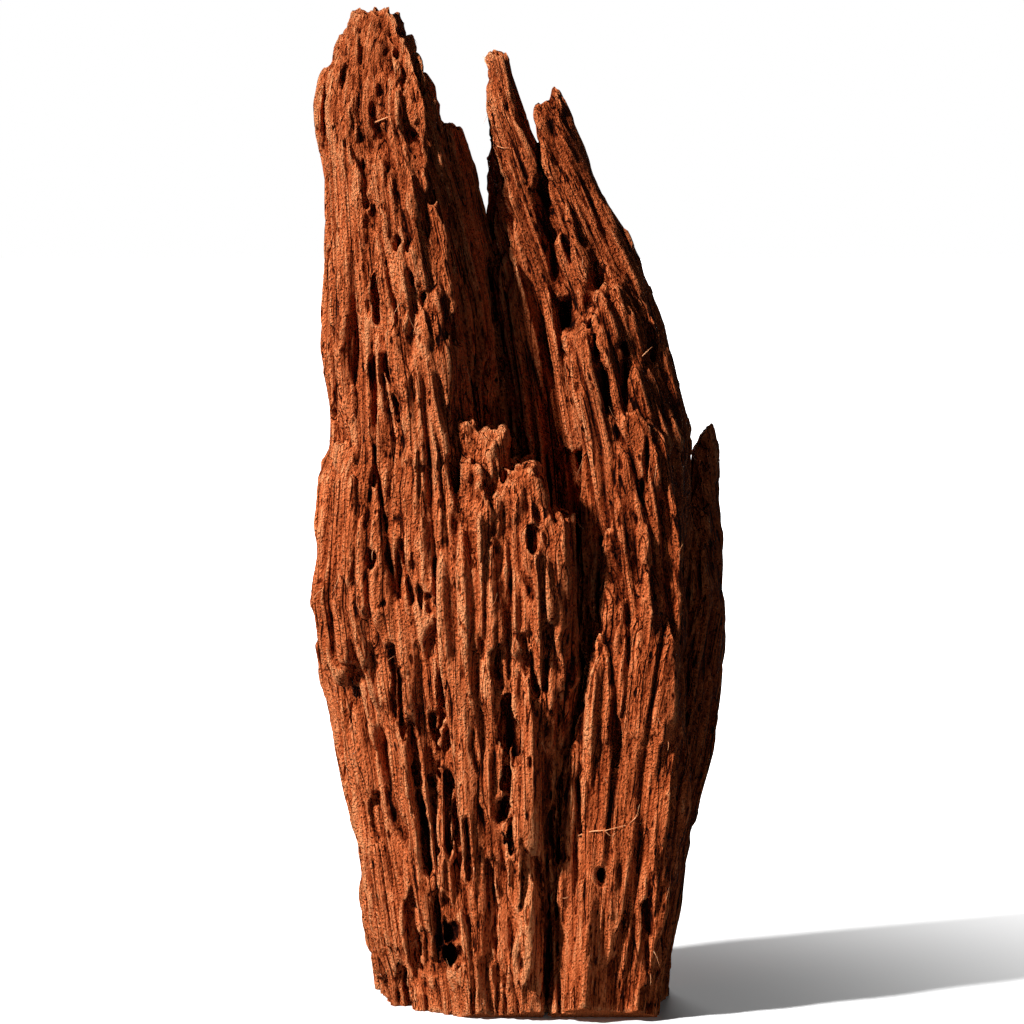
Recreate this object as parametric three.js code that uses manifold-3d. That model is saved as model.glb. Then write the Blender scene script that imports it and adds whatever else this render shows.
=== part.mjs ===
// A driftwood root: one upright piece of weathered red root wood, sawn flat across its foot so
// that it stands by itself. Rot has split it along the grain into long bands of fibre, which broke
// off at different heights. A tall blunt spire stands on the left, two slim ones lean on the right,
// a deep valley runs down between them, and a thin fin stands clear behind the right edge.
// Millimetres, +Z up. The broad face with the valley looks along -Y. The origin is on the floor,
// under the middle of the root.

import * as THREE from 'three';
import { LoftGeometry } from 'three/addons/geometries/LoftGeometry.js';
import { mergeVertices } from 'three/addons/utils/BufferGeometryUtils.js';
import Module from 'manifold-3d';

const wasm = await Module();
wasm.setup();

// Overall size. The tables below are drawn near it, and the finished piece is brought to it.
const ROOT_HEIGHT = 300;
const ROOT_WIDTH = 122;
const ROOT_DEPTH = 74;

// How a band of fibre is shaped.
const ROW_STEP = 20;          // the furthest that two sections of a band lie apart
const SQUARENESS = 2.7;       // 2 gives an oval section, more gives a squarer one
const FLUTE_DEPTH = 2.6;      // how far its long ridges stand out and its grooves sink in
const FLUTE_RUN = 34;         // the length over which a ridge swells and fades
const FULL_FLUTE_WIDTH = 20;  // narrower bands have shallower flutes
const RAGGED_END = 3.4;       // how uneven a broken end is, top to bottom
const RAGGED_LOSS = 0.7;      // the share of it that is broken away, not left standing
const BELOW_FLOOR = -6;       // the bands run on to here before the foot is sawn

// How a strand, a split or a worm hole is shaped: its ends taper to points.
const POINT_SHARE = 0.12;     // the blunt end's width, as a share of the middle's
const TAPER = 0.6;            // under 1 keeps the middle stretch wide
const STRAND = { sides: 5, rows: 5, sink: 2 };
const SPLIT = { sides: 4, rows: 4, sink: 0 };
const WORM_HOLE_SIDES = [7, 4];

// The saw cut: flat on the floor, with a shallow slope along the front where the cut began.
const SLOPE_START_Y = -20;
const SLOPE_ANGLE = THREE.MathUtils.degToRad(24);

// Wood colour.
const WOOD = { color: 0x9a4a28, roughness: 0.92, metalness: 0 };

// The bands of fibre. Each row is [height, left, right, front, back]. Turn skews the sections: the
// right edge comes forward by this share of the band's half width, and the left one goes back. A
// band with a flatter face than the others has its own squareness.
const BANDS = {
  left_spire: { columns: 30, seed: 11, turn: 0.3, rows: [
    [BELOW_FLOOR, -38, 14, -15, 26], [4, -39.5, 14, -17, 27], [20, -43, 14, -21, 28],
    [49, -47, 13, -25, 28], [64, -49.5, 12, -26, 28], [88, -54, 8, -27, 28],
    [109, -58, 3, -27, 27], [124, -60.6, -2, -27, 26], [140, -58.8, -7, -27, 25],
    [160, -58.8, -12, -27, 24], [174, -55, -14, -26, 23], [198, -57, -17, -25, 21],
    [225, -57.5, -20, -23, 19], [250, -58.4, -23, -20, 16], [263, -59, -24, -18, 14],
    [272, -58.6, -25, -16, 12], [280, -57.6, -28, -13, 11], [288, -54, -31, -10, 9],
    [295, -50.5, -35, -7, 7], [300, -49, -38, -5, 5],
  ] },
  left_flank: { columns: 10, seed: 31, turn: -0.3, rows: [
    [80, -30, 2, -14, 14], [120, -34, 1, -15, 18], [160, -34, -4, -16, 18], [198, -34, -8, -15, 16],
    [228, -34, -8, -13, 14], [240, -33, -10.5, -12, 13], [252, -32, -14, -11, 11],
    [260, -31, -16.5, -9, 9], [266, -28, -18.5, -7, 7],
  ] },
  right_trunk: { columns: 22, seed: 52, turn: 0, rows: [
    [BELOW_FLOOR, -8, 41, -18, 28], [4, -8, 42, -19, 29], [20, -8, 44, -20, 30],
    [34, -8, 46, -20, 31], [49, -8, 48, -20, 31], [64, -8, 50, -19, 30],
    [94, -8, 50.5, -12, 28], [124, -8, 49, -4, 26], [150, -10, 48.5, -1, 25],
    [171, -12, 50.2, -1, 24], [187, -12, 48, -2, 22], [205, -12, 44, -3, 20],
    [218, -11, 39, -4, 18],
  ] },
  middle_spire: { columns: 11, seed: 95, turn: 0.2, rows: [
    [170, -5, 22, -5, 22], [204, -7, 16, -7, 20], [232, -8.4, 12.5, -8, 17],
    [247, -8.4, 9, -8, 15], [257, -8.8, 6, -7, 12], [265, -9.2, 1.8, -6, 9],
    [273, -9.9, -1, -5, 7], [279, -9.6, -2.6, -4, 6], [285.5, -9.4, -3.8, -4, 4],
  ] },
  right_spire: { columns: 13, seed: 133, turn: 0.1, rows: [
    [170, 12, 48, -10, 24], [198, 12, 43.5, -12, 22], [211, 12, 39.5, -12, 21],
    [221, 12, 36, -11, 20], [230, 12, 33, -10, 19], [235, 11.5, 30.6, -10, 18],
    [240, 11, 27.3, -9, 17], [246, 10, 23, -8, 16], [252, 9.6, 19.8, -7, 14],
    [260, 9, 17.2, -6, 12], [267, 9, 14.6, -5, 9], [275, 9.6, 12.4, -3, 5],
  ] },
  broken_step: { columns: 8, seed: 171, turn: 0, rows: [
    [215, 9, 20, -9, 10], [240, 8.4, 14, -8, 9], [260, 6.2, 11, -6, 8], [271, 4.6, 9.6, -4, 6],
  ] },
  upper_layer: { columns: 16, seed: 210, turn: -0.2, rows: [
    [110, 20, 50, -20, 10], [150, 20, 50.6, -21, 14], [172, 19, 50.4, -22, 14],
    [187, 15, 47.8, -22, 13], [198, 13, 45, -21, 12], [205, 15, 42, -20, 11],
    [213, 20, 39, -18, 9], [221, 24, 31, -15, 6],
  ] },
  pocket_prong: { columns: 8, seed: 247, turn: 0, rows: [
    [120, 8, 22, -4, 6], [160, 5, 19, -5, 6], [190, 0, 11, -6, 6], [205, -2.5, 7, -7, 5],
    [217, -2.6, 3.6, -7, 3],
  ] },
  right_ridge: { columns: 18, seed: 288, turn: 0.06, squareness: 4.5, rows: [
    [BELOW_FLOOR, 9, 40, -28, 12], [4, 9, 41, -29, 13], [20, 11, 43.5, -30, 14],
    [49, 13, 47.5, -31, 15], [64, 13.5, 49.5, -32, 15], [79, 14.5, 50, -32, 15],
    [94, 17, 49.5, -32, 15], [109, 20.5, 48.5, -31, 15], [124, 24.5, 48, -30, 14],
    [150, 26.5, 47, -28, 13], [170, 27.5, 45, -26, 11], [179, 28, 41, -25, 8],
    [184, 29.5, 36, -24, 4],
  ] },
  rear_fin: { columns: 14, seed: 330, turn: 0, rows: [
    [BELOW_FLOOR, 33, 45, 7, 25], [12, 34, 46.5, 6, 28], [24, 34, 48, 5, 30], [39, 34, 49, 3, 31],
    [51, 34, 51, 2, 32], [63, 34, 54.5, 0, 32], [78, 36, 58.8, -2, 32], [90, 38, 60.4, -3, 31],
    [120, 44, 61, -1, 29], [136, 48, 60.6, 1, 27], [155, 51.8, 60.4, 5, 23],
    [164, 52.2, 60.2, 7, 20], [167, 54.4, 59.6, 8, 18], [170.5, 56.6, 59.2, 9, 15],
  ] },
  slab_left: { columns: 9, seed: 371, turn: 0.35, rows: [
    [BELOW_FLOOR, -24, -4, -21, 0], [20, -26, -4, -26, 0], [60, -27, -4, -31, 0],
    [109, -27, -3, -33, 0], [150, -26, -2, -33, 0], [166, -22, -2.5, -31, 0],
    [178, -13, -3, -27, -6],
  ] },
  slab_middle: { columns: 9, seed: 407, turn: 0.2, rows: [
    [BELOW_FLOOR, -7, 7, -25, 0], [20, -8, 8, -30, 0], [60, -8, 10, -34, 0], [100, -8, 13, -36, 0],
    [140, -7, 10, -36, 0], [158, -7, 8.8, -33, -2], [168, -5, 5.5, -30, -8],
  ] },
  slab_right: { columns: 9, seed: 449, turn: 0.2, rows: [
    [60, 7, 13, -18, -4], [84, 6, 16, -27, -2], [104, 6, 18, -33, -2], [124, 3, 15, -35, -6],
    [145, 3, 15, -34, -10], [153.5, 4.5, 15, -32, -14],
  ] },
  left_flake: { columns: 11, seed: 486, turn: 0.3, rows: [
    [101, -52, -40, -16, 8], [107, -57, -38, -20, 12], [124, -60.8, -36, -23, 16],
    [145, -60, -36, -24, 16], [160, -58.6, -38, -23, 14], [172, -54.6, -43, -19, 8],
  ] },
  back_slab_left: { columns: 14, seed: 524, turn: 0, rows: [
    [BELOW_FLOOR, -36, 2, 0, 31], [30, -41, 3, 0, 35], [75, -46, 2, 0, 37], [120, -50, -2, 0, 36],
    [160, -50, -8, 0, 33], [196, -48, -14, 0, 30], [214, -44, -18, 2, 26], [221, -36, -25, 6, 22],
  ] },
  back_slab_right: { columns: 12, seed: 566, turn: 0, rows: [
    [BELOW_FLOOR, 4, 40, 0, 30], [30, 4, 43, 0, 34], [75, 6, 46, 0, 36], [110, 8, 46, 0, 35],
    [135, 11, 43, 4, 33], [146, 16, 34, 8, 30],
  ] },
  back_splinter: { columns: 9, seed: 604, turn: 0, rows: [
    [60, -6, 12, 12, 38], [110, -5, 11, 12, 37], [165, -4, 8, 10, 32], [188, -2, 4, 12, 28],
  ] },
};

// The grain fans out from the foot and leans left towards the tips: [height, middle, half width].
const GRAIN_FLOW = [
  [0, 1, 40], [65, 0, 50], [125, 0, 60], [170, -3, 54], [215, -9, 48], [270, -23, 36], [300, -26, 27],
];

// Splits that rot has opened on the front: [x, height, x, height, half width, depth].
const FRONT_SPLITS = [
  [7.2, 66, 9, 26, 1.9, 13], [9.4, 34, 8, -8, 1.7, 12], [13, 84, 11.4, 40, 1.5, 12],
  [11.2, 48, 12.6, -8, 1.4, 11], [18.4, 80, 19, 50, 1.3, 7],
  [-35.6, 112, -34.6, 82, 1.7, 9], [-42.5, 170, -38.8, 139, 1.5, 8], [-36.5, 145, -35, 120, 1.4, 7],
  [-30, 140, -29.2, 118, 1.2, 6], [-8.4, 150, -5.6, 92, 1.5, 8], [2, 135, 4.6, 96, 1.4, 8],
  [-24.4, 110, -23.2, 82, 1.3, 7], [-49.5, 104, -48.6, 79, 1.7, 8], [-27.6, 80, -22.8, 36, 1.6, 8],
  [-20, 73, -18.8, 42, 1.2, 6], [-31.5, 42, -28.4, 6, 3, 6], [31.4, 201, 31.8, 181, 1.7, 12],
  [38, 208, 38.4, 192, 1.3, 9], [22.6, 208, 22.9, 196, 1.2, 8], [23.8, 140, 24, 113, 1.6, 9],
  [37.8, 180, 38, 154, 1, 6], [37.6, 34, 38, 4, 1.4, 8], [-46, 254, -45, 242, 1.3, 6],
  [-43.6, 224, -42.6, 207, 1.2, 6], [-20.6, 214, -20, 200, 1.3, 7], [49.6, 168, 49, 116, 1.1, 10],
  [19.6, 183, 19, 155, 1.3, 7],
];
const BACK_SPLITS = [
  [-6, 190, -3, 96, 2, 11], [-30, 150, -26, 88, 1.7, 9], [-38, 232, -33, 190, 1.5, 8],
  [22, 128, 20, 62, 1.9, 10], [34, 96, 31, 30, 1.5, 8], [-18, 92, -15, 14, 2.1, 11],
  [4, 70, 5, -8, 2, 12], [30, 190, 32, 152, 1.6, 9], [-42, 74, -36, 24, 1.6, 8],
];

// Holes bored by worms or left by knots on the front: [x, height, half width, half height, depth].
const WORM_HOLES = [
  [-43.7, 139, 1.7, 3.1, 8], [-5.4, 64.5, 2.9, 3.4, 9], [3.8, 146.5, 2, 4.2, 9],
  [-19.6, 19.5, 4.6, 4.4, 12], [-36, 232.5, 1.5, 1.9, 7], [-28.6, 216.5, 1.3, 2.6, 7],
  [-26.6, 202, 1.2, 3.4, 7], [24.4, 45, 1.7, 3.4, 8], [-25.8, 246, 2.4, 2.6, 6],
];

// Raised strands of fibre, strewn over the front (side -1) and the back (side 1).
const STRAND_GROUPS = [{ side: -1, tries: 24, seed: 700 }, { side: 1, tries: 18, seed: 900 }];
const STRAND_SPREAD = 0.88;         // the share of the grain's width that they cover
const STRAND_FOOT = [4, 194];       // lowest and highest foot
const STRAND_LENGTH = [50, 110];    // shortest and longest wish
const STRAND_SHORTEST = 30;         // one that is stopped before this is left out
const STRAND_HALF_WIDTH = [1.8, 3.4];
const STRAND_HALF_DEPTH = 3.4;
const WOOD_MARGIN = 4;              // it keeps this far inside a band's edges,
const STRAND_STEP = 1.6;            // and bends in or out by no more than this over that length

// A repeatable random number from 0 to 1 for any number.
function chance(n) {
  const s = Math.sin(n * 127.1 + 311.7) * 43758.5453;
  return s - Math.floor(s);
}

// A smooth wandering value from -1 to 1 along t, on its own course for each seed.
function wander(seed, t) {
  const step = Math.floor(t);
  const ease = THREE.MathUtils.smoothstep(t - step, 0, 1);
  const from = chance(seed * 3.7 + step);
  const to = chance(seed * 3.7 + step + 1);
  return 2 * THREE.MathUtils.lerp(from, to, ease) - 1;
}

// The values of a table's row at a height, between the rows above and below it.
function rowAt(rows, height) {
  let i = 1;
  while (i < rows.length - 1 && rows[i][0] < height) i += 1;
  const low = rows[i - 1];
  const high = rows[i];
  const share = THREE.MathUtils.clamp((height - low[0]) / (high[0] - low[0]), 0, 1);
  return low.slice(1).map((value, k) => THREE.MathUtils.lerp(value, high[k + 1], share));
}

// The heights of a band's sections: its rows, and more between rows that lie far apart.
function sectionHeights(rows) {
  const heights = [rows[0][0]];
  for (let i = 1; i < rows.length; i += 1) {
    const from = rows[i - 1][0];
    const to = rows[i][0];
    const steps = Math.ceil((to - from) / ROW_STEP);
    for (let k = 1; k <= steps; k += 1) heights.push(from + (to - from) * k / steps);
  }
  return heights;
}

// A closed three.js geometry as a solid that can be joined and cut.
function solidOf(geometry) {
  geometry.deleteAttribute('normal');
  geometry.deleteAttribute('uv');
  const merged = mergeVertices(new THREE.BufferGeometry().copy(geometry), 1e-4);
  return new wasm.Manifold(new wasm.Mesh({
    numProp: 3,
    vertProperties: merged.attributes.position.array,
    triVerts: new Uint32Array(merged.index.array),
  }));
}

// A point on a rounded-square ring: angle 0 is right, a quarter turn is the back.
function ringPoint(angle, squareness) {
  const round = (v) => Math.sign(v) * Math.abs(v) ** (2 / squareness);
  return [round(Math.cos(angle)), round(Math.sin(angle))];
}

// One band of fibre: sections from its table, fluted along the grain, with ragged broken ends.
function band({ columns, seed, turn, squareness = SQUARENESS, rows }) {
  const heights = sectionHeights(rows);
  const last = heights.length - 1;
  const sections = heights.map((height, i) => {
    const [left, right, front, back] = rowAt(rows, height);
    const halfWidth = (right - left) / 2;
    const halfDepth = (back - front) / 2;
    const flute = FLUTE_DEPTH * Math.min(1, 2 * halfWidth / FULL_FLUTE_WIDTH);
    const ragged = (i === last || i === 0) ? Math.min(RAGGED_END, halfWidth / 2) : 0;
    return Array.from({ length: columns }, (_, j) => {
      const [across, deep] = ringPoint(j / columns * 2 * Math.PI, squareness);
      const swell = flute * wander(seed + j * 1.37, height / FLUTE_RUN);
      return new THREE.Vector3(
        (left + right) / 2 + across * (halfWidth + swell),
        (front + back) / 2 + deep * (halfDepth + swell) - turn * across * halfWidth,
        height + ragged * (chance(seed + j * 2.11) - RAGGED_LOSS),
      );
    });
  });
  return solidOf(new LoftGeometry(sections, { capStart: true, capEnd: true }));
}

// True where some band holds wood well inside its edges.
function isWood(x, height) {
  return Object.values(BANDS).some(({ rows }) => {
    if (height < rows[0][0] || height > rows.at(-1)[0]) return false;
    const [left, right] = rowAt(rows, height);
    return x > left + WOOD_MARGIN && x < right - WOOD_MARGIN;
  });
}

// How far forward (side -1) or back (side +1) the wood reaches at a place on its broad face.
function faceAt(side, x, height) {
  let reach = 0;
  for (const { turn, squareness = SQUARENESS, rows } of Object.values(BANDS)) {
    if (height < rows[0][0] || height > rows.at(-1)[0]) continue;
    const [left, right, front, back] = rowAt(rows, height);
    const halfWidth = (right - left) / 2;
    const across = (x - left) / halfWidth - 1;
    if (Math.abs(across) >= 1) continue;
    const bulge = (1 - Math.abs(across) ** squareness) ** (1 / squareness);
    const y = (front + back) / 2 + side * (back - front) / 2 * bulge - turn * across * halfWidth;
    if (side * y > side * reach) reach = y;
  }
  return reach;
}

// A spindle along the grain, seated on the front or back face and pointed at both ends. Sunk by
// less than its depth it is a raised strand of fibre, and as a cutter it leaves an open split.
function spindle(side, [topX, topZ, footX, footZ, halfWidth, depth], { sides, rows, sink }) {
  const sections = [];
  for (let i = 0; i <= rows; i += 1) {
    const along = i / rows;
    const x = THREE.MathUtils.lerp(footX, topX, along);
    const z = THREE.MathUtils.lerp(footZ, topZ, along);
    const taper = Math.max(POINT_SHARE, Math.sin(Math.PI * along) ** TAPER);
    const y = faceAt(side, x, Math.max(z, 0)) - side * sink;
    sections.push(Array.from({ length: sides }, (_, j) => {
      const angle = j / sides * 2 * Math.PI;
      return new THREE.Vector3(
        x + halfWidth * taper * Math.cos(angle),
        y + depth * taper * Math.sin(angle),
        z,
      );
    }));
  }
  return solidOf(new LoftGeometry(sections, { capStart: true, capEnd: true }));
}

// One group of strands, each at a fixed random place. A strand follows one band of wood: it ends
// where the face under it ends or steps in or out.
function strands({ side, tries, seed }) {
  return Array.from({ length: tries }, (_, k) => {
    const draw = ([low, high], n) => THREE.MathUtils.lerp(low, high, chance(seed + k * 5.3 + n * 0.71));
    const across = ((k + draw([0.2, 0.8], 1)) / tries * 2 - 1) * STRAND_SPREAD;
    const place = (z) => {
      const [middle, halfWidth] = rowAt(GRAIN_FLOW, z);
      return middle + across * halfWidth;
    };
    const footZ = draw(STRAND_FOOT, 2);
    const wantedTop = footZ + draw(STRAND_LENGTH, 3);
    let topZ = footZ;
    while (topZ < wantedTop) {
      const next = topZ + WOOD_MARGIN;
      const step = faceAt(side, place(next), next) - faceAt(side, place(topZ), topZ);
      if (!isWood(place(next), next) || Math.abs(step) > STRAND_STEP) break;
      topZ = next;
    }
    if (topZ - footZ < STRAND_SHORTEST) return null;
    const halfWidth = draw(STRAND_HALF_WIDTH, 4);
    const shape = [place(topZ), topZ, place(footZ), footZ, halfWidth, STRAND_HALF_DEPTH];
    return spindle(side, shape, STRAND);
  }).filter(Boolean);
}

// A worm hole or an empty knot: an egg-shaped hollow that opens on the front face.
function wormHole([x, height, halfWidth, halfHeight, depth]) {
  const egg = new THREE.SphereGeometry(1, ...WORM_HOLE_SIDES);
  egg.rotateX(Math.PI / 2);
  egg.scale(halfWidth, depth, halfHeight);
  egg.translate(x, faceAt(-1, x, height), height);
  return solidOf(egg);
}

// The saw cut across the foot: all below the floor, and the shallow slope along the front.
function sawCuts() {
  const size = 2 * ROOT_WIDTH;
  const floor = new THREE.BoxGeometry(size, size, size);
  floor.translate(0, 0, -size / 2);
  const slope = new THREE.BoxGeometry(size, size, size);
  slope.translate(0, -size / 2, -size / 2);
  slope.rotateX(-SLOPE_ANGLE);
  slope.translate(0, SLOPE_START_Y, 0);
  return [solidOf(floor), solidOf(slope)];
}

// The largest piece of a solid: loose scraps and sealed hollows are left behind.
function wholePiece(solid) {
  return solid.decompose().reduce((most, piece) => (piece.volume() > most.volume() ? piece : most));
}

// A solid as a three.js geometry of the overall size, with the floor under its middle as the origin.
function geometryOf(solid) {
  const mesh = solid.getMesh();
  const geometry = new THREE.BufferGeometry();
  geometry.setAttribute('position', new THREE.BufferAttribute(mesh.vertProperties, 3));
  geometry.setIndex(new THREE.BufferAttribute(mesh.triVerts, 1));
  geometry.computeBoundingBox();
  const { min, max } = geometry.boundingBox;
  geometry.translate(-(min.x + max.x) / 2, -(min.y + max.y) / 2, -min.z);
  geometry.scale(
    ROOT_WIDTH / (max.x - min.x),
    ROOT_DEPTH / (max.y - min.y),
    ROOT_HEIGHT / (max.z - min.z),
  );
  geometry.computeVertexNormals();
  return geometry;
}

const grown = [
  ...Object.values(BANDS).map(band),
  ...STRAND_GROUPS.flatMap(strands),
];
const eaten = [
  ...FRONT_SPLITS.map((shape) => spindle(-1, shape, SPLIT)),
  ...BACK_SPLITS.map((shape) => spindle(1, shape, SPLIT)),
  ...WORM_HOLES.map(wormHole),
  ...sawCuts(),
];
const wood = wasm.Manifold.union(grown).subtract(wasm.Manifold.union(eaten));

const root = new THREE.Group();
const driftwood = new THREE.Mesh(geometryOf(wholePiece(wood)), new THREE.MeshStandardMaterial(WOOD));
driftwood.name = 'driftwood_root';
root.add(driftwood);

export default root;
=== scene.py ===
# A driftwood root, standing on its sawn foot in a plain studio. Metres, in the frame of the
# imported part: +Z up along the grain, the broad face with the valley looks along -Y.
import math

import bmesh
import bpy
import numpy as np
from mathutils import Matrix, Vector, noise
from mathutils.bvhtree import BVHTree


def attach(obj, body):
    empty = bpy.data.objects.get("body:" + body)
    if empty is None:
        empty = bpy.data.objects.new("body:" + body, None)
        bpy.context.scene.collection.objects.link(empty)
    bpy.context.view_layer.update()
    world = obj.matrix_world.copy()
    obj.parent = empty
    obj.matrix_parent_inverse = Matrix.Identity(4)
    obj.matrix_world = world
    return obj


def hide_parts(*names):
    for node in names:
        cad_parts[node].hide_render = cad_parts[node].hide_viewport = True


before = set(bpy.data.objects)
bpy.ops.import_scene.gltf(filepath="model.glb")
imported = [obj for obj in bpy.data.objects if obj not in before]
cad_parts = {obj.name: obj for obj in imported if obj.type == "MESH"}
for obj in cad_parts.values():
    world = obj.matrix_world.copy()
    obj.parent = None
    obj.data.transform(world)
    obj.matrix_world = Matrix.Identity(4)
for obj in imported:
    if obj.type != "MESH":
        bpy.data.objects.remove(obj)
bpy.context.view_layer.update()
MM = 0.001

# The root: one grown piece of red root wood, rotted along the grain until only its tough fibre
# is left, dried, and sawn flat across the foot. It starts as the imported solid, and the weather
# then eats flutes, broken bundles, slots and pores into its skin.
GRAIN_STRETCH = 2.0                            # relief is this much coarser along the grain
FINE_VOXEL = 0.45 * MM
SAW_ALLOWANCE = 8 * MM                         # the foot is left this much too long, then sawn
SLOPE_START_Y = -20 * MM                       # the slope where the saw cut began, as on the solid
SLOPE_ANGLE = math.radians(24)
FLOOR_TOLERANCE = 0.01 * MM                    # how near a point counts as on the sawn floor
SLOPE_TOLERANCE = 0.15 * MM
SAME_POINT = 0.001 * MM
MOST_TRIANGLES = 206_000                       # before the saw; the back is thinned first
FRONT_WEIGHT = 0.3                             # of the thinning, against 1 on the back
FRONT_FAVOUR = 1e-4                            # how strongly those weights count

# Where the photo's camera stands, so that what it shows can be placed by its pixels.
IMAGE_SIDE = 1024
PIXEL = 0.2989 * MM
CAMERA_ELEVATION = math.radians(7)
CAMERA_DISTANCE = 1.6
LOOK_AT = Vector((-1.5 * MM, 0, 0.1495))
CAMERA_UP = Vector((0, math.sin(CAMERA_ELEVATION), math.cos(CAMERA_ELEVATION)))
CAMERA_AWAY = Vector((0, -math.cos(CAMERA_ELEVATION), math.sin(CAMERA_ELEVATION)))

# Where a layer of the front broke off across the grain, in pixels, with the depth of the step and
# how far down the lower level runs before the wood swells again, in millimetres.
LEDGES = [
    ((350, 134), (436, 118), 1.7, 16), ((340, 60), (402, 52), 1.0, 9),
    ((366, 300), (432, 282), 1.2, 14), ((470, 640), (545, 655), 1.6, 24),
    ((376, 705), (446, 716), 1.5, 30), ((598, 545), (668, 560), 1.2, 22),
    ((590, 262), (660, 300), 1.6, 10), ((396, 470), (462, 452), 1.4, 20),
    ((430, 845), (520, 860), 1.3, 26), ((500, 175), (560, 190), 1.0, 18),
    ((612, 730), (680, 745), 1.2, 28),
]

# The dark furrows and slots of the front: the pixels of their two ends, how many pixels wide they
# are, and their depth in millimetres. Where it is below 0, the wood bulges.
FURROWS = [
    ((372, 436), (385, 532), 7, 4), ((385, 532), (399, 606), 5, 3), ((393, 645), (401, 730), 9, 4),
    ((436, 560), (438, 576), 5, 3), ((429, 594), (431, 614), 5, 3),
    ((414, 545), (424, 602), 4, 2.5), ((401, 540), (412, 602), 4, 2.5),
    ((490, 480), (492, 512), 6, 3), ((487, 518), (497, 556), 7, 3.5),
    ((472, 530), (474, 554), 6, 3), ((496, 560), (501, 664), 6, 2.5),
    ((523, 572), (531, 602), 7, 4), ((523, 632), (536, 695), 7, 4),
    ((549, 655), (546, 690), 6, 3.5), ((606, 615), (614, 700), 5, 2.5),
    ((643, 478), (645, 502), 6, 3), ((350, 664), (354, 710), 8, 3),
    ((408, 722), (424, 842), 9, 3.5), ((436, 715), (444, 762), 6, 3),
    ((444, 768), (449, 856), 9, 5), ((421, 800), (431, 874), 7, 4.5),
    ((441, 892), (443, 972), 9, 6), ((451, 922), (450, 962), 13, 6),
    ((408, 896), (413, 995), 11, 2.5), ((424, 930), (427, 992), 8, 3),
    ((466, 815), (468, 884), 5, 3.5), ((472, 918), (474, 952), 5, 3),
    ((470, 722), (486, 842), 5, 2.5), ((486, 842), (503, 985), 5, 2.5),
    ((505, 700), (517, 764), 9, 6), ((508, 812), (511, 852), 5, 3.5),
    ((545, 752), (552, 864), 9, 6), ((539, 860), (542, 892), 8, 5), ((559, 842), (563, 862), 8, 4),
    ((546, 892), (548, 1006), 12, 6), ((557, 905), (557, 944), 6, 4),
    ((568, 716), (561, 794), 5, 3.5), ((579, 776), (580, 834), 5, 3.5),
    ((614, 700), (618, 766), 5, 2.5), ((646, 900), (648, 934), 7, 3.5),
    ((373, 796), (377, 842), 6, 3), ((361, 160), (368, 194), 5, 2.5),
    ((407, 212), (408, 250), 6, 2.5), ((364, 250), (370, 318), 5, 2.5),
    ((381, 336), (399, 424), 5, 2.5), ((444, 296), (446, 334), 7, 3.5),
    ((566, 300), (567, 332), 13, 5), ((588, 238), (594, 268), 6, 3),
    ((593, 320), (595, 358), 6, 3.5), ((604, 366), (607, 414), 8, 4),
    ((622, 340), (627, 400), 9, 4.5), ((648, 326), (651, 358), 7, 3.5),
    ((541, 172), (558, 286), 9, 3), ((338, 296), (340, 344), 5, 2), ((618, 800), (620, 900), 4, 2),
    ((468, 416), (463, 480), 14, -4), ((505, 436), (505, 470), 14, -2),
]

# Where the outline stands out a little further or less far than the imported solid's: the pixel, how
# many pixels wide and high the place is, and how far it moves right and up, in millimetres.
NUDGES = [
    ((376, 965), (50, 95), (-3.8, 0)), ((342, 740), (40, 120), (-1.8, 0)),
    ((320, 100), (25, 60), (-2.0, 0)), ((310, 552), (20, 30), (1.4, 0)),
    ((674, 340), (30, 90), (-1.8, 0)), ((708, 440), (24, 60), (0, 4.5)),
    ((495, 56), (18, 40), (-0.5, 2.2)), ((545, 96), (18, 30), (0, 1.6)),
    ((718, 660), (20, 70), (1.2, 0)),
]

# The grain fans out from the foot and leans left towards the tips: height, middle, half width.
GRAIN_FLOW = np.array([
    (0, 1, 40), (65, 0, 50), (125, 0, 60), (170, -3, 54),
    (215, -9, 48), (270, -23, 36), (300, -26, 27),
]) * MM
EVEN_HALF_WIDTH = 50                           # across the grain, every height counts as this wide
GRAIN_DRIFT = 2.0                              # how far the grain wanders, in millimetres


def remeshed(obj, voxel):
    """Gives the object one even closed skin of voxels, coarser along the grain."""
    squeeze = Matrix.Diagonal((1, 1, 1 / GRAIN_STRETCH, 1))
    obj.data.transform(squeeze)
    modifier = obj.modifiers.new("Skin", "REMESH")
    modifier.mode = "VOXEL"
    modifier.voxel_size = voxel
    evaluated = obj.evaluated_get(bpy.context.evaluated_depsgraph_get())
    obj.data = bpy.data.meshes.new_from_object(evaluated)
    obj.modifiers.clear()
    obj.data.transform(squeeze.inverted())


def points_of(mesh):
    """A mesh's points and normals as two arrays."""
    points = np.empty(len(mesh.vertices) * 3)
    normals = np.empty(len(mesh.vertices) * 3)
    mesh.vertices.foreach_get("co", points)
    mesh.vertices.foreach_get("normal", normals)
    return points.reshape(-1, 3), normals.reshape(-1, 3)


def wave(place, width, length, seed):
    """Smooth random values from -1 to 1, as wide and as long along the grain as asked."""
    scaled = place / (width, width, length) + seed
    return np.array([noise.noise(p) for p in scaled.tolist()])


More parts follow.
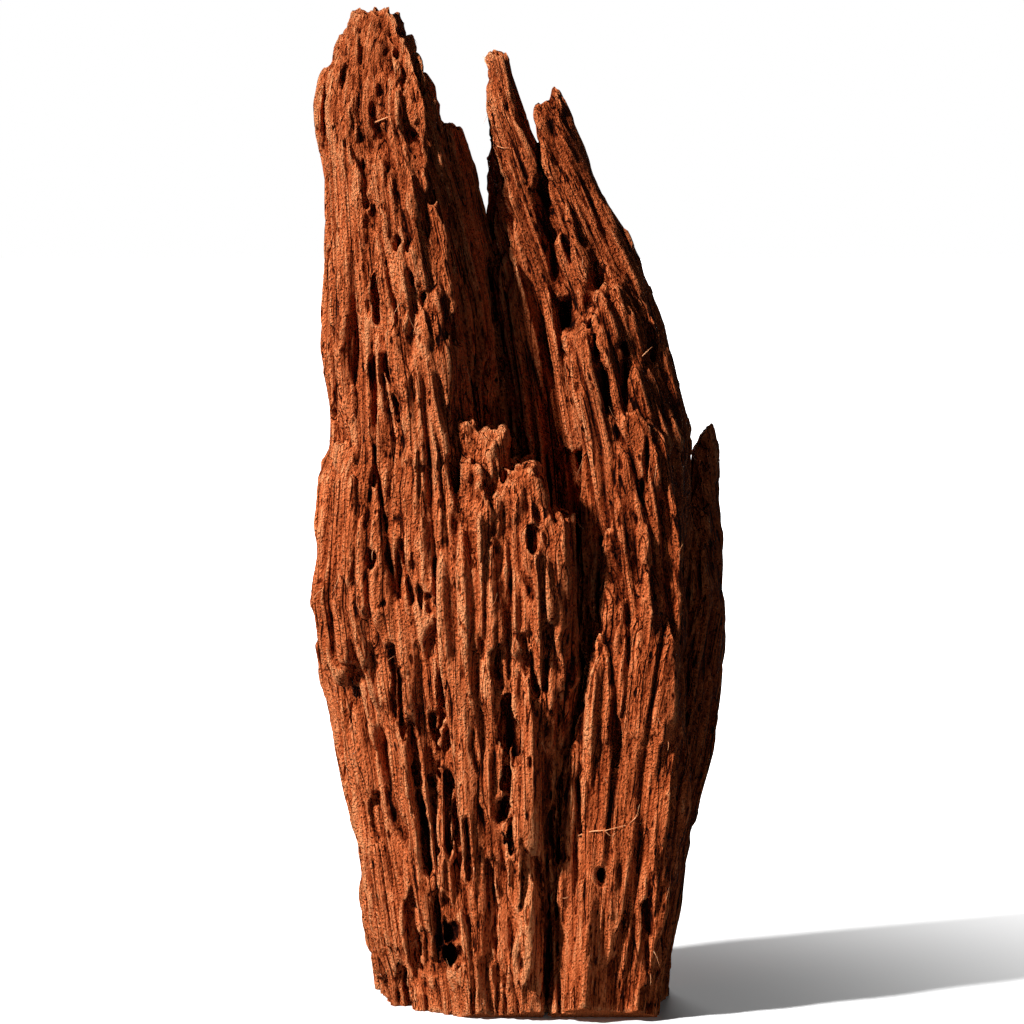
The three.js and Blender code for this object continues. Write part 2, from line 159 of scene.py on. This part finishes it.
def grain_place(points):
    """Places in millimetres measured across, into and along the grain, which wanders a little."""
    middle = np.interp(points[:, 2], GRAIN_FLOW[:, 0], GRAIN_FLOW[:, 1])
    half_width = np.interp(points[:, 2], GRAIN_FLOW[:, 0], GRAIN_FLOW[:, 2])
    across = (points[:, 0] - middle) / half_width * EVEN_HALF_WIDTH
    straight = np.stack([across, points[:, 1] / MM, points[:, 2] / MM], 1)
    drift = [
        wave(straight, 30, 120, 3),
        wave(straight, 30, 120, 13),
        4 * wave(straight, 12, 40, 23),
    ]
    return straight + GRAIN_DRIFT * np.stack(drift, 1)


def hearts(place, width, length, seed):
    """Cells scattered through the wood: how far each place is from its cell's heart, and the
    cell's own random number."""
    scaled = place / (width, width, length) + seed
    near = [noise.voronoi(p) for p in scaled.tolist()]
    distance = np.array([n[0][0] for n in near])
    own = np.array([noise.cell(n[1][0]) for n in near])
    return distance, own


def cells(scaled):
    """One random number for each unit cell."""
    return np.array([noise.cell(p) for p in scaled.tolist()])


def broken(place, width, length, seed):
    """Straight bundles of fibre, each broken off square at its own heights: a random level for
    every length between two breaks."""
    sway = 0.5 * wave(place, 3 * width, 1.5 * length, seed + 1)
    columns = np.stack([place[:, 0] / width + sway, place[:, 1] / width - sway, 0 * sway + seed], 1)
    start = cells(np.floor(columns) + 0.5)
    rag = cells(np.floor(columns * 3) + 0.5)
    columns[:, 2] = place[:, 2] / length + 7 * start + 0.12 * rag + seed
    return cells(np.floor(columns) + 0.5)


def step(low, high, values):
    """0 below low, 1 above high, and a smooth rise between."""
    t = np.clip((values - low) / (high - low), 0, 1)
    return t * t * (3 - 2 * t)


def clear_distance(tree, points, directions, reach):
    """How far a ray from each point runs before it meets wood, up to a reach."""
    start = 0.05 * MM
    found = []
    for point, direction in zip(points.tolist(), directions.tolist()):
        direction = Vector(direction)
        hit = tree.ray_cast(Vector(point) + direction * start, direction, reach)
        found.append(reach if hit[3] is None else hit[3])
    return np.array(found)


root = bpy.data.objects.new("root_wood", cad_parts["driftwood_root"].data.copy())
bpy.context.scene.collection.objects.link(root)
bm = bmesh.new()
bm.from_mesh(root.data)
bmesh.ops.remove_doubles(bm, verts=bm.verts, dist=SAME_POINT)
slope_top = [v.co.z - (SLOPE_START_Y - v.co.y) * math.tan(SLOPE_ANGLE) for v in bm.verts]
for vert, above_slope in zip(bm.verts, slope_top):
    on_floor = vert.co.z < FLOOR_TOLERANCE
    on_slope = vert.co.y < SLOPE_START_Y and abs(above_slope) < SLOPE_TOLERANCE
    if on_floor or on_slope:
        vert.co.z -= SAW_ALLOWANCE
bm.to_mesh(root.data)
bm.free()
remeshed(root, FINE_VOXEL)

FURROW_WAVER = 4                               # pixels that a furrow strays from its straight line
FURROW_REACH = (-14 * MM, -4 * MM)             # furrows fade out between these depths of the front
THICKNESS_LOOK = 16 * MM                       # wood thicker than this counts as this thick
FURROW_SHARE = 0.5                             # of the wood's thickness, at most


def seen_at(points):
    """The pixels of the photo, right and down, at which points are seen."""
    from_middle = points - LOOK_AT
    nearness = CAMERA_DISTANCE / (CAMERA_DISTANCE - from_middle @ CAMERA_AWAY)
    half = IMAGE_SIDE / 2
    pixel_x = half + from_middle[:, 0] / PIXEL * nearness
    pixel_y = half - from_middle @ CAMERA_UP / PIXEL * nearness
    return pixel_x, pixel_y


def furrowed(points):
    """How deep the furrows of the front are at points, in millimetres."""
    pixel_x, pixel_y = seen_at(points)
    pixel_x += FURROW_WAVER * wave(points / MM, 5, 12, 7)
    total = np.zeros(len(points))
    for (top_x, top_y), (foot_x, foot_y), width, depth in FURROWS:
        share = (pixel_y - top_y) / (foot_y - top_y)
        aside = (pixel_x - top_x - share * (foot_x - top_x)) / (0.6 * width)
        within = step(-0.1, 0.15, share) * (1 - step(0.85, 1.1, share))
        total += depth * within * np.exp(-aside ** 2)
    return total * step(*FURROW_REACH, -points[:, 1])


points, normals = points_of(root.data)
pixel_x, pixel_y = seen_at(points)
for (middle_x, middle_y), (width, height), (right, up) in NUDGES:
    near = np.exp(-((pixel_x - middle_x) / width) ** 2 - ((pixel_y - middle_y) / height) ** 2)
    points[:, 0] += right * MM * near
    points[:, 2] += up * MM * near
tree = BVHTree.FromPolygons(points.tolist(), [p.vertices[:] for p in root.data.polygons])
thickness = clear_distance(tree, points, -normals, THICKNESS_LOOK)
fronting = step(0.1, 0.5, -normals[:, 1])
points[:, 1] += np.minimum(fronting * furrowed(points) * MM, FURROW_SHARE * thickness)
root.data.vertices.foreach_set("co", points.ravel())
points, normals = points_of(root.data)
place = grain_place(points)


def grooves(width, length, depth, seed):
    """Long grooves along the grain, deep in some stretches and closed in others."""
    line = np.abs(wave(place, width, length, seed))
    open_share = step(-0.4, 0.35, wave(place, 3 * width, 0.6 * length, seed + 5))
    return -depth * (0.2 + 0.8 * open_share) * (1 - step(0.02, 1.1 / width, line))


def slots(width, length, depth, share, seed):
    """Open slots that end inside the wood, in this share of the cells."""
    heart, own = hearts(place, width, length, seed)
    return -depth * (own > 1 - share) * (1 - step(0.1, 0.24, heart))


def ledges():
    """Steps across the grain on the front, each with a ragged lip."""
    rag = 2.6 * broken(place, 2.2, 30, 121) + 1.4 * broken(place, 0.9, 30, 131)
    pixel_x, pixel_y = seen_at(points)
    fronting = step(-0.1, 0.4, -normals[:, 1])
    level = np.zeros(len(points))
    for (left_x, left_y), (right_x, right_y), depth, run in LEDGES:
        share = (pixel_x - left_x) / (right_x - left_x)
        below = (pixel_y - left_y - share * (right_y - left_y)) * PIXEL / MM + rag
        within = step(-0.05, 0.12, share) * (1 - step(0.88, 1.05, share))
        level -= depth * within * fronting * step(0, 0.5, below) * (1 - step(0.3 * run, run, below))
    return level


# The weather's layers, each with its width and length in millimetres, then its depth where it
# has one, and last a seed.
relief = (
    0.5 * wave(place, 8, 120, 31)
    + grooves(8, 160, 2.6, 21)
    + grooves(4.2, 130, 2.2, 41)
    + grooves(3.0, 90, 1.2, 51)
    - 1.1 * broken(place, 9, 60, 61) ** 2
    - 0.7 * broken(place, 2.9, 40, 71) ** 2
    - 0.45 * broken(place, 1.5, 22, 81) ** 2
    + slots(3.2, 15, 3.2, 0.3, 91)
    + ledges()
)
facing_up = step(0.3, 0.8, normals[:, 2])
relief = (relief - relief.mean()) * (1 - 0.6 * facing_up) * MM

# Thin wood and narrow gaps take less relief, and the broken ends stand up as ragged fibres.
FULL_THICKNESS = 12 * MM
GAP_LOOK = 8 * MM
GAP_SHARE = 0.35
END_RAGGEDNESS = 1.6                           # millimetres
tree = BVHTree.FromPolygons(points.tolist(), [p.vertices[:] for p in root.data.polygons])
thickness = clear_distance(tree, points, -normals, THICKNESS_LOOK)
gap = clear_distance(tree, points, normals, GAP_LOOK)
relief *= step(0, FULL_THICKNESS, thickness)
relief = np.minimum(relief, GAP_SHARE * gap)
points = points + normals * relief[:, None]
points[:, 2] += facing_up * END_RAGGEDNESS * (broken(place, 1.7, 50, 111) - 0.7) * MM
root.data.vertices.foreach_set("co", points.ravel())
remeshed(root, FINE_VOXEL)

triangles = 2 * len(root.data.polygons)
if triangles > MOST_TRIANGLES:
    points, normals = points_of(root.data)
    unseen = root.vertex_groups.new(name="unseen")
    weights = FRONT_WEIGHT + (1 - FRONT_WEIGHT) * step(-0.5, 0.2, normals[:, 1])
    for index, weight in enumerate(weights.tolist()):
        unseen.add([index], weight, "REPLACE")
    modifier = root.modifiers.new("Fewer", "DECIMATE")
    modifier.ratio = MOST_TRIANGLES / triangles
    modifier.vertex_group = unseen.name
    modifier.vertex_group_factor = FRONT_FAVOUR
    evaluated = root.evaluated_get(bpy.context.evaluated_depsgraph_get())
    root.data = bpy.data.meshes.new_from_object(evaluated)
    root.modifiers.clear()
    root.vertex_groups.clear()

# Chips that hang on nothing are dropped, the saw cuts the slope and the foot, and faces that lie
# folded on each other are taken out.
bm = bmesh.new()
bm.from_mesh(root.data)
unreached = set(bm.verts)
chips = []
while unreached:
    chip = [unreached.pop()]
    for vert in chip:
        linked = {edge.other_vert(vert) for edge in vert.link_edges} & unreached
        unreached -= linked
        chip += linked
    chips.append(chip)
chips.sort(key=len)
bmesh.ops.delete(bm, geom=[vert for chip in chips[:-1] for vert in chip], context="VERTS")
saw_cuts = [
    (Vector((0, SLOPE_START_Y, 0)), Vector((0, -math.sin(SLOPE_ANGLE), -math.cos(SLOPE_ANGLE)))),
    (Vector((0, 0, 0)), Vector((0, 0, -1))),
]
for start, away in saw_cuts:
    everything = bm.verts[:] + bm.edges[:] + bm.faces[:]
    bmesh.ops.bisect_plane(bm, geom=everything, plane_co=start, plane_no=away, clear_outer=True)
    rim = [edge for edge in bm.edges if edge.is_boundary]
    bmesh.ops.triangle_fill(bm, use_beauty=True, use_dissolve=False, edges=rim, normal=away)
bmesh.ops.triangulate(bm, faces=bm.faces)
twins = {}
for face in bm.faces:
    twins.setdefault(frozenset(face.verts), []).append(face)
folded = [face for faces in twins.values() if len(faces) > 1 for face in faces]
bmesh.ops.delete(bm, geom=folded, context="FACES")
bm.to_mesh(root.data)
bm.free()
root.data.shade_smooth()

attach(root, "root")
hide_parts("driftwood_root")


class Signal:
    """A number, colour or vector on its way through a material. A sign between two of them, or one
    and a number, adds a Math node, and node() adds a node of any other kind."""

    def __init__(self, tree, socket=None):
        self.tree = tree
        self.socket = socket

    def node(self, kind, settings, values, output=0):
        new = self.tree.nodes.new("ShaderNode" + kind)
        for name, setting in settings.items():
            if name == "stops":
                for _ in setting[2:]:
                    new.color_ramp.elements.new(0.5)
                for element, (position, color) in zip(new.color_ramp.elements, setting):
                    element.position = position
                    element.color = (*color, 1)
            else:
                setattr(new, name, setting)
        for name, value in values.items():
            if isinstance(value, Signal):
                self.tree.links.new(value.socket, new.inputs[name])
            else:
                new.inputs[name].default_value = value
        return Signal(self.tree, new.outputs[output])

    def math(self, operation, first, second):
        return self.node("Math", {"operation": operation}, {0: first, 1: second})

    def __add__(self, other):
        return self.math("ADD", self, other)

    def __radd__(self, other):
        return self.math("ADD", other, self)

    def __sub__(self, other):
        return self.math("SUBTRACT", self, other)

    def __rsub__(self, other):
        return self.math("SUBTRACT", other, self)

    def __mul__(self, other):
        return self.math("MULTIPLY", self, other)

    def __rmul__(self, other):
        return self.math("MULTIPLY", other, self)


# Two attributes carry what the wood's colour follows: how far the skin sinks below its surroundings,
# and the grain.
# The sunken places and the furrows are darkened in the colour as painted shade.
FURROW_SHADE = 0.3                             # how much hollower a furrow counts per millimetre
FURROW_RIM = 0.8                               # shallower than this, a furrow isn't shaded
EVENING_ROUNDS = 10
HOLLOW_DEPTH = 0.9 * MM                        # this far below its surroundings counts as 1
final_points, final_normals = points_of(root.data)
edges = np.empty(len(root.data.edges) * 2, int)
root.data.edges.foreach_get("vertices", edges)
edges = edges.reshape(-1, 2)
ends = np.concatenate([edges, edges[:, ::-1]])
neighbours = np.bincount(ends[:, 0], minlength=len(final_points))[:, None]
even = final_points
for _ in range(EVENING_ROUNDS):
    total = np.zeros_like(even)
    np.add.at(total, ends[:, 0], even[ends[:, 1]])
    even = (even + total / neighbours) / 2
hollowness = ((even - final_points) * final_normals).sum(1) / HOLLOW_DEPTH
hollowness += np.maximum(furrowed(final_points) - FURROW_RIM, 0) * FURROW_SHADE
root.data.attributes.new("hollow", "FLOAT", "POINT").data.foreach_set("value", hollowness)
place = grain_place(final_points)
root.data.attributes.new("grain", "FLOAT_VECTOR", "POINT").data.foreach_set("vector", place.ravel())

wood = bpy.data.materials.new("root_wood")
wood.use_nodes = True
shader = wood.node_tree.nodes["Principled BSDF"]
start = Signal(wood.node_tree)
grain = start.node("Attribute", {"attribute_name": "grain"}, {}, "Vector")
hollow = start.node("Attribute", {"attribute_name": "hollow"}, {}, "Fac")


def stretched(width, length):
    """The grain's coordinates, so many millimetres wide and long to one unit."""
    return start.node("VectorMath", {"operation": "DIVIDE"}, {0: grain, 1: (width, width, length)})


def clouds(width, length, detail):
    """Soft random values on both sides of 0."""
    shape = {"Vector": stretched(width, length), "Scale": 1, "Detail": detail, "Roughness": 0.6}
    return 4 * start.node("TexNoise", {}, shape, "Fac") - 2


def rise(value, low, high):
    """0 below low, 1 above high, and a smooth rise between."""
    return start.node("MapRange", {"interpolation_type": "SMOOTHSTEP"},
                      {"Value": value, "From Min": low, "From Max": high})


def specks(width, length, low, high):
    """Pits scattered through the wood: 1 in the heart of each and 0 around it."""
    place = stretched(width, length)
    near = start.node("TexVoronoi", {}, {"Vector": place, "Scale": 1}, "Distance")
    return 1 - rise(near, low, high)


def lines(width, length, thickness):
    """Thin lines along the grain, which the colour darkens as painted shade."""
    return 1 - rise(start.math("ABSOLUTE", clouds(width, length, 0), 0), 0, thickness)


# What the weather leaves on the skin, each in the grain's coordinates: width and length in
# millimetres first.
fibres = clouds(0.6, 22, 1)
strands = clouds(1.15, 70, 0)
grit = clouds(0.55, 0.9, 3)
patches = clouds(9, 40, 2)
cracks = lines(1.5, 38, 0.22) * rise(clouds(5, 14, 1), -0.4, 0.3)
rifts = lines(3.0, 60, 0.15) * rise(clouds(7, 26, 1), -0.25, 0.15)
pits = specks(2.2, 6.5, 0.12, 0.28) * rise(clouds(6, 12, 1), 0.0, 0.3)
pores = specks(1.0, 1.3, 0.16, 0.4)

# The saw left the foot smooth: there the weathered relief gives way to faint saw marks.
SAW_SKIN = 0.12 * MM
SAW_MARK = 0.9 * MM
place_in_wood = start.node("TexCoord", {}, {}, "Object")
across = start.node("SeparateXYZ", {}, {"Vector": place_in_wood}, "X")
inward = start.node("SeparateXYZ", {}, {"Vector": place_in_wood}, "Y")
upward = start.node("SeparateXYZ", {}, {"Vector": place_in_wood}, "Z")
above_slope = (inward - SLOPE_START_Y) * math.sin(SLOPE_ANGLE) + upward * math.cos(SLOPE_ANGLE)
sawn = 1 - rise(start.math("MINIMUM", above_slope, upward), SAW_SKIN, 2 * SAW_SKIN)
saw_marks = start.math("SINE", across * (2 * math.pi / SAW_MARK) + 2 * strands, 0)
weathered = 1 - sawn

# Painted shade: the colour darkens on the right side, and on the spires above it, which turn from
# the key light.
SHADED_SIDE = (10 * MM, 60 * MM)                 # how far right it begins and is full, at the floor
SHADE_LEAN = 0.15                               # and how much further left for each length up
painted_side_shade = rise(across + SHADE_LEAN * upward, *SHADED_SIDE)
height = weathered * (0.5 * fibres + 0.6 * strands + 1.0 * grit
                      - 1.4 * cracks - 2.2 * rifts - 2.0 * pits - 1.1 * pores)
height += sawn * (0.06 * saw_marks + 0.12 * grit)
# Painted shade: the tone darkens in cracks, rifts, pits, pores and sunken places, and on the right
# side.
tone = weathered * (0.69 + 0.15 * fibres + 0.10 * strands + 0.14 * grit
                    + 0.24 * patches - 0.17 * painted_side_shade
                    - 0.45 * cracks - 0.6 * rifts - 0.6 * pits - 0.22 * pores - 0.35 * hollow)
tone += sawn * (0.72 + 0.05 * saw_marks + 0.1 * grit + 0.1 * patches - 0.2 * pores)
color = start.node("ValToRGB", {"stops": [
    (0.0, (0.012, 0.001, 0.0)),
    (0.3, (0.17, 0.021, 0.003)),
    (0.6, (0.57, 0.116, 0.031)),
    (0.82, (0.85, 0.214, 0.069)),
    (1.0, (0.94, 0.33, 0.13)),
]}, {"Fac": tone})
BUMP_HEIGHT = 0.85 * MM
bump = start.node("Bump", {}, {"Height": height, "Distance": BUMP_HEIGHT, "Strength": 1.0})
wood.node_tree.links.new(color.socket, shader.inputs["Base Color"])
wood.node_tree.links.new(bump.socket, shader.inputs["Normal"])
shader.inputs["Roughness"].default_value = 0.95
shader.inputs["Specular IOR Level"].default_value = 0.04
root.data.materials.clear()
root.data.materials.append(wood)

# The loose fibres: hair roots that grew over the wood and fibres torn loose at the breaks, each a
# thin dry thread that touches the wood at its foot, bends out and ends in a point.
THREAD_SIDES = 5
THREAD_STEPS = 9

# The ones that the photo shows: the pixels they run through, and the radius at the foot.
SEEN_THREADS = [
    ([(578, 836), (592, 831), (606, 830), (622, 826), (642, 823)], 0.24),
    ([(604, 830), (612, 836), (618, 828)], 0.14),
    ([(628, 825), (636, 817), (640, 812)], 0.15),
    ([(551, 883), (556, 892), (563, 898), (571, 896)], 0.18),
    ([(553, 890), (551, 900), (557, 907), (566, 905)], 0.15),
    ([(374, 123), (383, 119), (391, 116)], 0.32),
    ([(497, 146), (504, 148), (510, 147)], 0.16),
    ([(489, 66), (485, 58), (490, 53), (494, 57)], 0.3),
    ([(488, 60), (483, 55)], 0.2),
    ([(522, 428), (530, 436), (531, 448)], 0.18),
]
# The strays are strewn over the ridges of the front, above the sawn edge.
STRAY_COUNT = 60
STRAY_LENGTH = (2, 7)
STRAY_RADIUS = (0.07, 0.15)
STRAY_LOWEST = 10 * MM
RIDGE_HOLLOWNESS = -0.2
ROOTED = 0.4                                   # how deep a stray's foot stands in the wood
SEEN_FOOT = 0.2 * MM                           # a seen thread's two ends lie this deep in the wood
SEEN_BULGE = 0.8 * MM                          # and its middle bows out by this much
THREAD_TAPER = 0.8                             # share of the radius lost towards the tip

draw = np.random.default_rng(5)
wood_tree = BVHTree.FromPolygons(final_points.tolist(), [p.vertices[:] for p in root.data.polygons])
eye = LOOK_AT + CAMERA_AWAY * CAMERA_DISTANCE
courses = []
for pixels, radius in SEEN_THREADS:
    course = []
    for pixel_x, pixel_y in pixels:
        right = Vector(((pixel_x - IMAGE_SIDE / 2) * PIXEL, 0, 0))
        seen = LOOK_AT + right + CAMERA_UP * (IMAGE_SIDE / 2 - pixel_y) * PIXEL
        front = wood_tree.ray_cast(eye, (seen - eye).normalized())[0]
        course.append(front or Vector((seen.x, wood_tree.find_nearest(seen)[0].y, seen.z)))
    last = len(course) - 1
    sunk = [SEEN_FOOT - SEEN_BULGE * math.sin(math.pi * i / last) for i in range(len(course))]
    courses.append(([p + Vector((0, depth, 0)) for p, depth in zip(course, sunk)], radius * MM))
ridge = (final_normals[:, 1] < -0.5) & (hollowness < RIDGE_HOLLOWNESS)
fronting = np.flatnonzero(ridge & (final_points[:, 2] > STRAY_LOWEST))
for index in draw.choice(fronting, STRAY_COUNT, replace=False):
    foot = Vector(final_points[index])
    out = Vector(final_normals[index])
    along = Vector((draw.normal(0, 0.35), 0, draw.choice((-1, 1)))).normalized()
    reach = draw.uniform(*STRAY_LENGTH) * MM
    bend = Vector(draw.normal(0, 0.3, 3))
    courses.append(([
        foot - out * ROOTED * MM,
        foot + along * reach * 0.35 + out * 0.15 * reach,
        foot + along * reach * 0.7 + out * 0.25 * reach + bend * 0.2 * reach,
        foot + along * reach + out * 0.3 * reach + bend * 0.4 * reach,
    ], draw.uniform(*STRAY_RADIUS) * MM))

bm = bmesh.new()
for course, radius in courses:
    last_ring = None
    for i in range(THREAD_STEPS):
        at = i / (THREAD_STEPS - 1) * (len(course) - 1)
        k = min(int(at), len(course) - 2)
        before = course[max(k - 1, 0)]
        after = course[min(k + 2, len(course) - 1)]
        t = at - k
        leave, arrive = (course[k + 1] - before) / 2, (after - course[k]) / 2
        middle = ((2 * t ** 3 - 3 * t ** 2 + 1) * course[k] + (t ** 3 - 2 * t ** 2 + t) * leave
                  + (3 * t ** 2 - 2 * t ** 3) * course[k + 1] + (t ** 3 - t ** 2) * arrive)
        heading = (course[k + 1] - course[k]).normalized()
        side = heading.cross(Vector((0.3, 1, 0.2))).normalized()
        other = heading.cross(side)
        thin = radius * (1 - THREAD_TAPER * i / (THREAD_STEPS - 1))
        ring = []
        for j in range(THREAD_SIDES):
            turn = j / THREAD_SIDES * 2 * math.pi
            outward = math.cos(turn) * side + math.sin(turn) * other
            ring.append(bm.verts.new(middle + thin * outward))
        if last_ring:
            for j in range(THREAD_SIDES):
                after_j = (j + 1) % THREAD_SIDES
                bm.faces.new((last_ring[j], last_ring[after_j], ring[after_j], ring[j]))
        else:
            bm.faces.new(ring[::-1])
        last_ring = ring
    bm.faces.new(last_ring)
bmesh.ops.recalc_face_normals(bm, faces=bm.faces)
mesh = bpy.data.meshes.new("loose_fibres")
bm.to_mesh(mesh)
bm.free()
mesh.shade_smooth()
threads = bpy.data.objects.new("loose_fibres", mesh)
bpy.context.scene.collection.objects.link(threads)

dry = bpy.data.materials.new("dry_fibre")
dry.use_nodes = True
dry_shader = dry.node_tree.nodes["Principled BSDF"]
dry_start = Signal(dry.node_tree)
dry_place = dry_start.node("TexCoord", {}, {}, "Object")
worn = dry_start.node("TexNoise", {}, {
    "Vector": dry_place, "Scale": 1 / (1.5 * MM), "Detail": 2,
}, "Fac")
scales = dry_start.node("TexNoise", {}, {
    "Vector": dry_place, "Scale": 1 / (0.2 * MM),
}, "Fac")
dry_color = dry_start.node("ValToRGB", {"stops": [
    (0.3, (0.42, 0.12, 0.04)),
    (0.55, (0.74, 0.31, 0.13)),
    (0.75, (0.86, 0.48, 0.27)),
]}, {"Fac": worn})
dry_bump = dry_start.node("Bump", {}, {"Height": scales, "Distance": 0.05 * MM})
dry.node_tree.links.new(dry_color.socket, dry_shader.inputs["Base Color"])
dry.node_tree.links.new(dry_bump.socket, dry_shader.inputs["Normal"])
dry_shader.inputs["Roughness"].default_value = 0.7
dry_shader.inputs["Specular IOR Level"].default_value = 0.2
threads.data.materials.append(dry)
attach(threads, "root")

# The studio: a plain pale floor that glows white away from the foot, one key light from the left
# front, a weak fill and a back light, all in metres and watts.
FLOOR_SIDE = 6
FLOOR_GLOW = (0.05, 0.30)                      # the glow rises between these distances
bpy.ops.mesh.primitive_plane_add(size=FLOOR_SIDE)
floor = bpy.context.object
floor.name = "floor"
pale = bpy.data.materials.new("pale_floor")
pale.use_nodes = True
pale_shader = pale.node_tree.nodes["Principled BSDF"]
pale_shader.inputs["Base Color"].default_value = (0.9, 0.9, 0.9, 1)
pale_shader.inputs["Roughness"].default_value = 0.9
pale_shader.inputs["Emission Strength"].default_value = 1
floor_signal = Signal(pale.node_tree)
floor_place = floor_signal.node("TexCoord", {}, {}, "Object")
from_foot = floor_signal.node("VectorMath", {"operation": "LENGTH"}, {0: floor_place}, "Value")
glow = floor_signal.node("MapRange", {"interpolation_type": "SMOOTHSTEP"},
                         {"Value": from_foot, "From Min": FLOOR_GLOW[0], "From Max": FLOOR_GLOW[1]})
pale.node_tree.links.new(glow.socket, pale_shader.inputs["Emission Color"])
floor.data.materials.append(pale)
floor.visible_diffuse = False

ROOT_MIDDLE = Vector((0, 0, 0.15))


def aimed_lamp(light, azimuth, elevation, distance):
    """Places a light round the middle of the root and turns it to the root. Azimuth 0 is the front
    and rises to the right."""
    lamp = bpy.data.objects.new(light.name, light)
    bpy.context.scene.collection.objects.link(lamp)
    turn = math.radians(azimuth)
    tilt = math.radians(elevation)
    away = Vector((
        math.sin(turn) * math.cos(tilt),
        -math.cos(turn) * math.cos(tilt),
        math.sin(tilt),
    ))
    lamp.location = ROOT_MIDDLE + away * distance
    lamp.rotation_euler = away.to_track_quat("Z", "Y").to_euler()


key = bpy.data.lights.new("key", "SUN")
key.angle = math.radians(5)
key.energy = 7.9
aimed_lamp(key, azimuth=-60, elevation=37, distance=0)

back = bpy.data.lights.new("back", "AREA")
back.size = 0.6
back.energy = 7
aimed_lamp(back, azimuth=185, elevation=12, distance=1.2)

# The pale floor throws some light back on the foot and the slope of the saw cut: a strip of light
# just over the floor, in front of the foot, looks back and up at it.
bounce = bpy.data.lights.new("bounce", "AREA")
bounce.shape = "RECTANGLE"
bounce.size = 0.16
bounce.size_y = 0.03
bounce.energy = 0.05
bounce_lamp = bpy.data.objects.new("bounce", bounce)
bpy.context.scene.collection.objects.link(bounce_lamp)
bounce_lamp.location = (0.02, -0.13, 0.004)
bounce_lamp.rotation_euler = Vector((0, -0.13, -0.03)).to_track_quat("Z", "Y").to_euler()

fill = bpy.data.lights.new("fill", "AREA")
fill.size = 1.0
fill.energy = 1.5
aimed_lamp(fill, azimuth=25, elevation=25, distance=1.6)

world = bpy.data.worlds.new("studio")
world.use_nodes = True
world.node_tree.nodes["Background"].inputs["Color"].default_value = (1, 1, 1, 1)
world.cycles_visibility.diffuse = False
world.cycles_visibility.glossy = False
bpy.context.scene.world = world
bpy.context.scene.view_settings.view_transform = "Standard"

# The camera: a long lens, a little above the root.
SENSOR = 36
lens = bpy.data.cameras.new("camera")
lens.sensor_width = SENSOR
lens.lens = SENSOR * CAMERA_DISTANCE / (IMAGE_SIDE * PIXEL)
camera = bpy.data.objects.new("camera", lens)
bpy.context.scene.collection.objects.link(camera)
camera.location = eye
camera.rotation_euler = CAMERA_AWAY.to_track_quat("Z", "Y").to_euler()
bpy.context.scene.camera = camera
